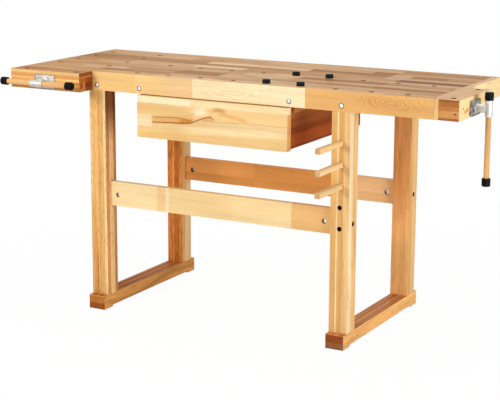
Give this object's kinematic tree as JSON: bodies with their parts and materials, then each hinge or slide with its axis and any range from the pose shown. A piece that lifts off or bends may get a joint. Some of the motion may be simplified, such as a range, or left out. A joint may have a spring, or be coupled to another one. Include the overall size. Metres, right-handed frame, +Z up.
{
  "type": "woodworking bench with vises",
  "caption": "Beech woodworking bench on sledge feet with dog holes, bench dogs, a hung drawer, tool pegs, a front vise and a tail vise worked by screws with tommy bars.",
  "frame": {"origin": "middle of the bench's footprint box, on the floor", "axes": "+X along the bench towards the tail vise, +Y from the front to the back, +Z up"},
  "size_m": [1.7036, 0.769, 0.8651],
  "materials": {
    "worktop_beech": "lacquered beech staves",
    "beech": "lacquered laminated beech",
    "darker_beech": "lacquered beech, deeper tone",
    "zinc_steel": "bright zinc plate",
    "cap_rubber": "smooth black rubber",
    "dog_plastic": "moulded black plastic"
  },
  "bodies": {
    "bench": {"worktop": "worktop_beech", "front_apron": "beech", "rear_apron": "beech", "end_cap": "beech", "left_front_leg": "beech", "left_rear_leg": "beech", "right_front_leg": "beech", "right_rear_leg": "beech", "left_top_bearer": "beech", "right_top_bearer": "beech", "front_stretcher": "beech", "rear_stretcher": "beech", "left_drawer_rail": "beech", "right_drawer_rail": "beech", "front_vise_guide_block": "beech", "tail_vise_guide_block": "beech", "left_foot": "darker_beech", "right_foot": "darker_beech", "apron_bolt_left_leg": "zinc_steel", "apron_bolt_left_rail": "zinc_steel", "apron_bolt_right_rail": "zinc_steel", "apron_bolt_right_leg": "zinc_steel", "front_stretcher_bolt_left": "zinc_steel", "front_barrel_nut_left": "zinc_steel", "front_stretcher_bolt_right": "zinc_steel", "front_barrel_nut_right": "zinc_steel", "rear_stretcher_bolt_left": "zinc_steel", "rear_barrel_nut_left": "zinc_steel", "rear_stretcher_bolt_right": "zinc_steel", "rear_barrel_nut_right": "zinc_steel", "front_vise_nut": "zinc_steel", "tail_vise_nut": "zinc_steel"},
    "drawer": {"drawer_front": "beech", "drawer_side_left": "darker_beech", "drawer_side_right": "darker_beech", "drawer_back": "darker_beech", "drawer_bottom": "darker_beech"},
    "front_vise_slide": {"front_vise_jaw": "beech", "front_vise_plate": "zinc_steel", "front_vise_guide_rod_left": "zinc_steel", "front_vise_guide_rod_right": "zinc_steel"},
    "front_vise_screw": {"front_vise_screw": "zinc_steel"},
    "front_vise_bar": {"front_vise_handle": "beech", "front_vise_cap_left": "cap_rubber", "front_vise_cap_right": "cap_rubber"},
    "tail_vise_slide": {"tail_vise_jaw": "beech", "tail_vise_plate": "zinc_steel", "tail_vise_guide_rod_front": "zinc_steel", "tail_vise_guide_rod_rear": "zinc_steel"},
    "tail_vise_screw": {"tail_vise_screw": "zinc_steel"},
    "tail_vise_bar": {"tail_vise_handle": "beech", "tail_vise_cap_lower": "cap_rubber", "tail_vise_cap_upper": "cap_rubber"},
    "peg_lower": {"tool_peg_lower": "beech"},
    "peg_middle": {"tool_peg_middle": "beech"},
    "peg_upper": {"tool_peg_upper": "beech"},
    "dog_front_left": {"bench_dog_front_left": "dog_plastic"},
    "dog_front_right": {"bench_dog_front_right": "dog_plastic"},
    "dog_rear_left": {"bench_dog_rear_left": "dog_plastic"},
    "dog_rear_right": {"bench_dog_rear_right": "dog_plastic"}
  },
  "joints": [
    {"name": "drawer_slide", "type": "slide", "parent": "bench", "child": "drawer", "axis": [0, -1, 0], "range_m": [0, 0.42]},
    {"name": "front_jaw_slide", "type": "slide", "parent": "bench", "child": "front_vise_slide", "axis": [0, -1, 0], "range_m": [0, 0.121]},
    {"name": "front_screw_turn", "type": "hinge", "parent": "front_vise_slide", "child": "front_vise_screw", "pos_m": [-0.70175, -0.3565, 0.812], "axis": [0, -1, 0], "range_deg": [0, 7200]},
    {"name": "front_bar_slide", "type": "slide", "parent": "front_vise_screw", "child": "front_vise_bar", "axis": [1, 0, 0], "range_m": [-0.095, 0.095]},
    {"name": "tail_jaw_slide", "type": "slide", "parent": "bench", "child": "tail_vise_slide", "axis": [1, 0, 0], "range_m": [0, 0.121]},
    {"name": "tail_screw_turn", "type": "hinge", "parent": "tail_vise_slide", "child": "tail_vise_screw", "pos_m": [0.84925, -0.0845, 0.812], "axis": [1, 0, 0], "range_deg": [0, 7200]},
    {"name": "tail_bar_slide", "type": "slide", "parent": "tail_vise_screw", "child": "tail_vise_bar", "axis": [0, 0, 1], "range_m": [0, 0.19]},
    {"name": "peg_lower_pull", "type": "slide", "parent": "bench", "child": "peg_lower", "axis": [0, -1, 0], "range_m": [0, 0.025]},
    {"name": "peg_middle_pull", "type": "slide", "parent": "bench", "child": "peg_middle", "axis": [0, -1, 0], "range_m": [0, 0.025]},
    {"name": "peg_upper_pull", "type": "slide", "parent": "bench", "child": "peg_upper", "axis": [0, -1, 0], "range_m": [0, 0.025]},
    {"name": "dog_front_left_lift", "type": "slide", "parent": "bench", "child": "dog_front_left", "axis": [0, 0, 1], "range_m": [0, 0.02]},
    {"name": "dog_front_right_lift", "type": "slide", "parent": "bench", "child": "dog_front_right", "axis": [0, 0, 1], "range_m": [0, 0.02]},
    {"name": "dog_rear_left_lift", "type": "slide", "parent": "bench", "child": "dog_rear_left", "axis": [0, 0, 1], "range_m": [0, 0.02]},
    {"name": "dog_rear_right_lift", "type": "slide", "parent": "bench", "child": "dog_rear_right", "axis": [0, 0, 1], "range_m": [0, 0.02]}
  ],
  "couplings": [
    {"joint": "front_jaw_slide", "follows": "front_screw_turn", "m_per_rad": 0.00095493},
    {"joint": "tail_jaw_slide", "follows": "tail_screw_turn", "m_per_rad": 0.00095493}
  ]
}
